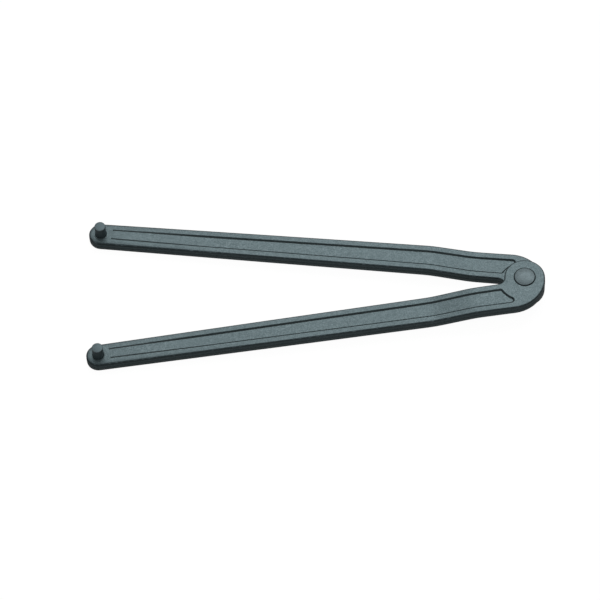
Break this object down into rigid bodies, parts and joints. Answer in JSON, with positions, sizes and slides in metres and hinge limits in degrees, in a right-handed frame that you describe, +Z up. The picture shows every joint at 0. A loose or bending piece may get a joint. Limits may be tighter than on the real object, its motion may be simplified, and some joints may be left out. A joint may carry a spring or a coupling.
{
  "type": "adjustable face pin spanner",
  "caption": "Adjustable face spanner: forged arms on a rivet, each with a round pin at its tip that fits pin holes in a case back or ring nut.",
  "frame": {"origin": "on the rivet's axis, at the flat underside of the hubs", "axes": "+Z up along the rivet, the way the pins point; the arms reach out along -X, one to each side of the XZ plane"},
  "size_m": [0.1237, 0.0454, 0.0083],
  "materials": {
    "forged_steel": "matte grey phosphate over drop-forged steel",
    "rivet_steel": "satin grey phosphate over headed steel",
    "pin_steel": "blackened hardened steel, ground end"
  },
  "bodies": {
    "top_half": {"top_arm": "forged_steel", "top_arm_pin": "pin_steel", "pivot_rivet": "rivet_steel"},
    "bottom_half": {"bottom_arm": "forged_steel", "bottom_arm_pin": "pin_steel"}
  },
  "joints": [
    {"name": "pivot", "type": "hinge", "parent": "top_half", "child": "bottom_half", "pos_m": [0, 0, 0.0032], "axis": [0, 0, -1], "range_deg": [-15.8, 284]}
  ]
}
